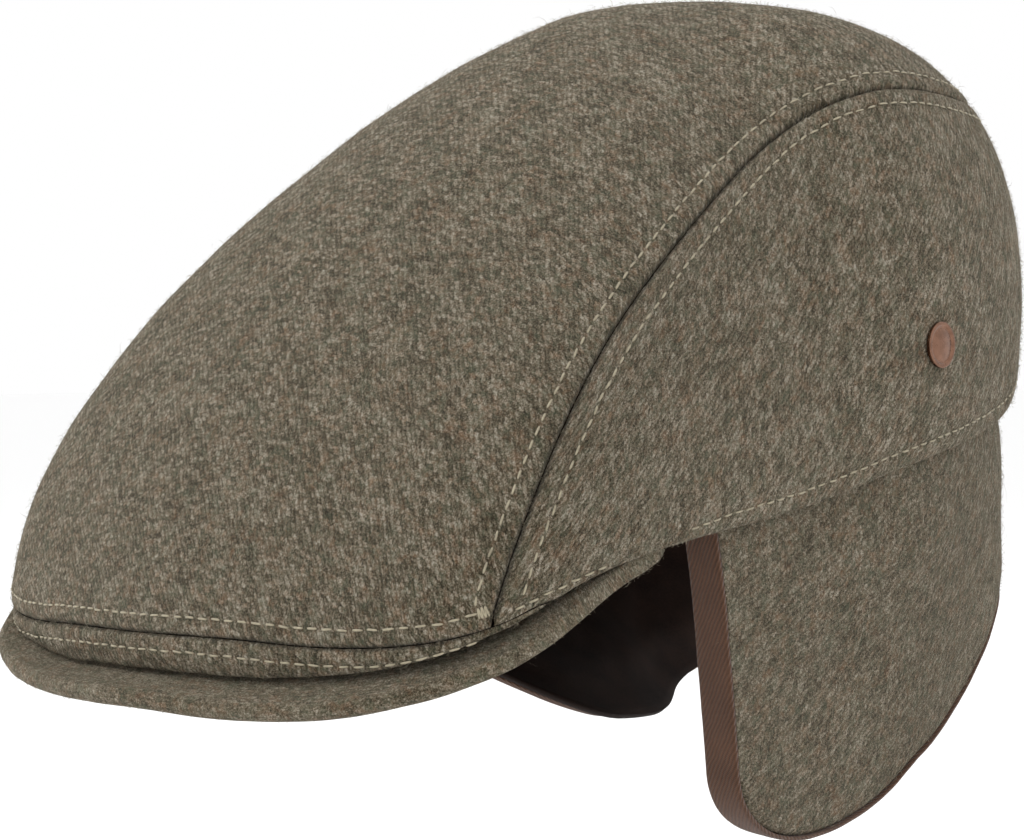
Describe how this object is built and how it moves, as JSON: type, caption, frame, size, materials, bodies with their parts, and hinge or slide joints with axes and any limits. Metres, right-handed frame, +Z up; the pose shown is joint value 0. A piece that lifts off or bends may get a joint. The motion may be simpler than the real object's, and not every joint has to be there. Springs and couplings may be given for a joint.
{
  "type": "winter cap with earflaps",
  "caption": "Flat wool winter cap with a stiff peak and one padded flap folded down over the ears and the back of the neck, shown as worn.",
  "frame": {"origin": "centre of the head opening, at the level of the rim", "axes": "+Z up as worn, -Y towards the peak, +X towards the wearer's left"},
  "size_m": [0.1882, 0.2742, 0.2018],
  "materials": {
    "wool": "mottled olive-brown wool twill, matt and slightly fuzzy",
    "lining": "nearly black brown soft lining, matt",
    "tape": "brown twill tape, matt",
    "copper": "polished copper-coloured metal"
  },
  "bodies": {
    "root": {"top_panel": "wool", "side_panel_left": "wool", "side_panel_right": "wool", "front_strip": "wool", "peak": "wool", "neck_flap": "wool", "flap_lining": "lining", "flap_tape": "tape", "pin": "copper"}
  },
  "joints": []
}
